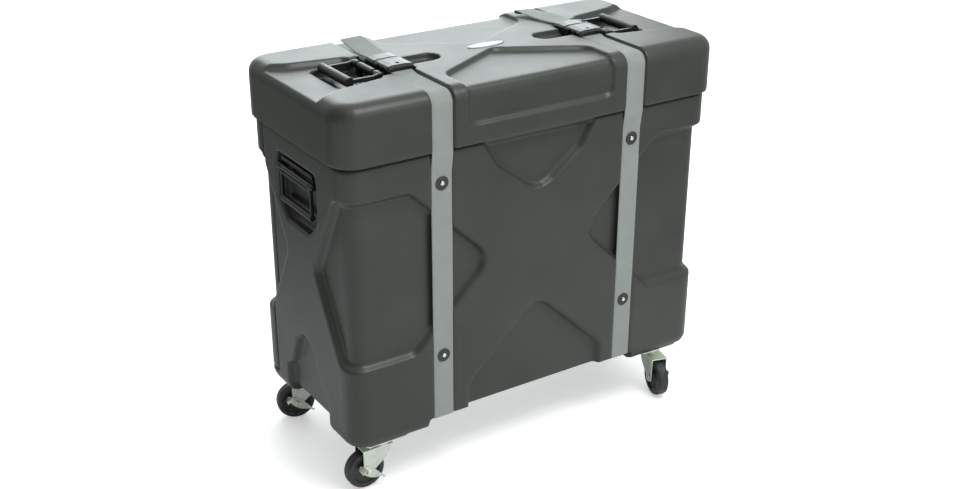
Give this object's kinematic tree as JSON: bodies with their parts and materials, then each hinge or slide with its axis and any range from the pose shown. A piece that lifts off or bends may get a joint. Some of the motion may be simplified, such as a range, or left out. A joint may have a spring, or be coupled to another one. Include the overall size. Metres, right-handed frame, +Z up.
{
  "type": "drum trap case",
  "caption": "Upright moulded hardware case on swivel casters with a lift-off lid, rear cover, two side-release straps and folding carry handles",
  "frame": {"origin": "centre of the box's floor plane, where the wheels stand", "axes": "+X along the case to the right hand end in the picture, +Y from the strap rivets' side to the rear cover, +Z up"},
  "size_m": [0.85, 0.4498, 0.8172],
  "materials": {
    "shell": "fine-grained moulded polyethylene, dark grey",
    "black_plastic": "moulded black plastic",
    "grip": "matt black grip",
    "webbing": "woven light grey webbing",
    "badge": "satin badge plate, plain",
    "zinc": "zinc plated pressed steel",
    "rivet": "bright rivet with washer",
    "wheel": "dark grey solid wheel"
  },
  "bodies": {
    "case": {"case_tub": "shell", "case_rear_cover": "shell", "handle_end_left_base": "black_plastic", "handle_end_left_pin": "black_plastic", "handle_end_right_base": "black_plastic", "handle_end_right_pin": "black_plastic", "strap_left_lower": "webbing", "strap_left_front_slack": "webbing", "strap_left_back_slack": "webbing", "rivet_left_upper": "rivet", "rivet_left_lower": "rivet", "strap_right_lower": "webbing", "strap_right_front_slack": "webbing", "strap_right_back_slack": "webbing", "rivet_right_upper": "rivet", "rivet_right_lower": "rivet", "caster_front_left_plate": "zinc", "caster_front_right_plate": "zinc", "caster_back_left_plate": "zinc", "caster_back_right_plate": "zinc"},
    "lid": {"case_lid": "shell", "lid_badge": "badge", "handle_top_left_base": "black_plastic", "handle_top_left_pin": "black_plastic", "handle_top_right_base": "black_plastic", "handle_top_right_pin": "black_plastic", "strap_left_top_front": "webbing", "strap_left_top_back": "webbing", "buckle_left_socket": "black_plastic", "buckle_left_plug": "black_plastic", "strap_right_top_front": "webbing", "strap_right_top_back": "webbing", "buckle_right_socket": "black_plastic", "buckle_right_plug": "black_plastic"},
    "top_bail_left": {"handle_top_left_bail": "grip"},
    "end_bail_left": {"handle_end_left_bail": "grip"},
    "buckle_left_catch_outer": {"buckle_left_arm_outer": "black_plastic"},
    "buckle_left_catch_inner": {"buckle_left_arm_inner": "black_plastic"},
    "top_bail_right": {"handle_top_right_bail": "grip"},
    "end_bail_right": {"handle_end_right_bail": "grip"},
    "buckle_right_catch_outer": {"buckle_right_arm_outer": "black_plastic"},
    "buckle_right_catch_inner": {"buckle_right_arm_inner": "black_plastic"},
    "caster_front_left_swivel": {"caster_front_left_fork": "zinc", "caster_front_left_axle": "zinc"},
    "caster_front_left_roller": {"caster_front_left_wheel": "wheel"},
    "caster_front_left_brake": {"caster_front_left_pedal": "zinc"},
    "caster_front_right_swivel": {"caster_front_right_fork": "zinc", "caster_front_right_axle": "zinc"},
    "caster_front_right_roller": {"caster_front_right_wheel": "wheel"},
    "caster_front_right_brake": {"caster_front_right_pedal": "zinc"},
    "caster_back_left_swivel": {"caster_back_left_fork": "zinc", "caster_back_left_axle": "zinc"},
    "caster_back_left_roller": {"caster_back_left_wheel": "wheel"},
    "caster_back_left_brake": {"caster_back_left_pedal": "zinc"},
    "caster_back_right_swivel": {"caster_back_right_fork": "zinc", "caster_back_right_axle": "zinc"},
    "caster_back_right_roller": {"caster_back_right_wheel": "wheel"},
    "caster_back_right_brake": {"caster_back_right_pedal": "zinc"}
  },
  "joints": [
    {"name": "lid_lift", "type": "slide", "parent": "case", "child": "lid", "axis": [0, 0, 1], "range_m": [0, 0.05], "deforming": ["strap_left_front_slack", "strap_left_back_slack", "strap_right_front_slack", "strap_right_back_slack"]},
    {"name": "top_bail_left_swing", "type": "hinge", "parent": "lid", "child": "top_bail_left", "pos_m": [-0.26, 0, 0.7848], "axis": [0, 1, 0], "range_deg": [0, 90]},
    {"name": "end_bail_left_swing", "type": "hinge", "parent": "case", "child": "end_bail_left", "pos_m": [-0.4153, 0, 0.608], "axis": [0, 1, 0], "range_deg": [0, 90]},
    {"name": "buckle_left_catch_outer_squeeze", "type": "hinge", "parent": "lid", "child": "buckle_left_catch_outer", "pos_m": [-0.234, -0.007, 0.7923], "axis": [0, 0, 1], "range_deg": [0, 8], "stiffness_Nm_per_rad": 0.3},
    {"name": "buckle_left_catch_inner_squeeze", "type": "hinge", "parent": "lid", "child": "buckle_left_catch_inner", "pos_m": [-0.201, -0.007, 0.7923], "axis": [0, 0, -1], "range_deg": [0, 8], "stiffness_Nm_per_rad": 0.3},
    {"name": "top_bail_right_swing", "type": "hinge", "parent": "lid", "child": "top_bail_right", "pos_m": [0.26, 0, 0.7848], "axis": [0, -1, 0], "range_deg": [0, 90]},
    {"name": "end_bail_right_swing", "type": "hinge", "parent": "case", "child": "end_bail_right", "pos_m": [0.4153, 0, 0.608], "axis": [0, -1, 0], "range_deg": [0, 90]},
    {"name": "buckle_right_catch_outer_squeeze", "type": "hinge", "parent": "lid", "child": "buckle_right_catch_outer", "pos_m": [0.234, -0.007, 0.7923], "axis": [0, 0, -1], "range_deg": [0, 8], "stiffness_Nm_per_rad": 0.3},
    {"name": "buckle_right_catch_inner_squeeze", "type": "hinge", "parent": "lid", "child": "buckle_right_catch_inner", "pos_m": [0.201, -0.007, 0.7923], "axis": [0, 0, 1], "range_deg": [0, 8], "stiffness_Nm_per_rad": 0.3},
    {"name": "caster_front_left_turn", "type": "hinge", "parent": "case", "child": "caster_front_left_swivel", "pos_m": [-0.338, -0.148, 0.09], "axis": [0, 0, 1], "continuous": true},
    {"name": "caster_front_left_roll", "type": "hinge", "parent": "caster_front_left_swivel", "child": "caster_front_left_roller", "pos_m": [-0.376, -0.148, 0.04], "axis": [0, -1, 0], "continuous": true},
    {"name": "caster_front_left_brake_press", "type": "hinge", "parent": "caster_front_left_swivel", "child": "caster_front_left_brake", "pos_m": [-0.376, -0.148, 0.04], "axis": [0, -1, 0], "range_deg": [0, 15]},
    {"name": "caster_front_right_turn", "type": "hinge", "parent": "case", "child": "caster_front_right_swivel", "pos_m": [0.338, -0.148, 0.09], "axis": [0, 0, 1], "continuous": true},
    {"name": "caster_front_right_roll", "type": "hinge", "parent": "caster_front_right_swivel", "child": "caster_front_right_roller", "pos_m": [0.32881, -0.18487, 0.04], "axis": [0.9703, -0.2419, 0], "continuous": true},
    {"name": "caster_front_right_brake_press", "type": "hinge", "parent": "caster_front_right_swivel", "child": "caster_front_right_brake", "pos_m": [0.32881, -0.18487, 0.04], "axis": [0.9703, -0.2419, 0], "range_deg": [0, 15]},
    {"name": "caster_back_left_turn", "type": "hinge", "parent": "case", "child": "caster_back_left_swivel", "pos_m": [-0.338, 0.148, 0.09], "axis": [0, 0, 1], "continuous": true},
    {"name": "caster_back_left_roll", "type": "hinge", "parent": "caster_back_left_swivel", "child": "caster_back_left_roller", "pos_m": [-0.37487, 0.15719, 0.04], "axis": [-0.2419, -0.9703, 0], "continuous": true},
    {"name": "caster_back_left_brake_press", "type": "hinge", "parent": "caster_back_left_swivel", "child": "caster_back_left_brake", "pos_m": [-0.37487, 0.15719, 0.04], "axis": [-0.2419, -0.9703, 0], "range_deg": [0, 15]},
    {"name": "caster_back_right_turn", "type": "hinge", "parent": "case", "child": "caster_back_right_swivel", "pos_m": [0.338, 0.148, 0.09], "axis": [0, 0, 1], "continuous": true},
    {"name": "caster_back_right_roll", "type": "hinge", "parent": "caster_back_right_swivel", "child": "caster_back_right_roller", "pos_m": [0.32881, 0.18487, 0.04], "axis": [-0.9703, -0.2419, 0], "continuous": true},
    {"name": "caster_back_right_brake_press", "type": "hinge", "parent": "caster_back_right_swivel", "child": "caster_back_right_brake", "pos_m": [0.32881, 0.18487, 0.04], "axis": [-0.9703, -0.2419, 0], "range_deg": [0, 15]}
  ]
}
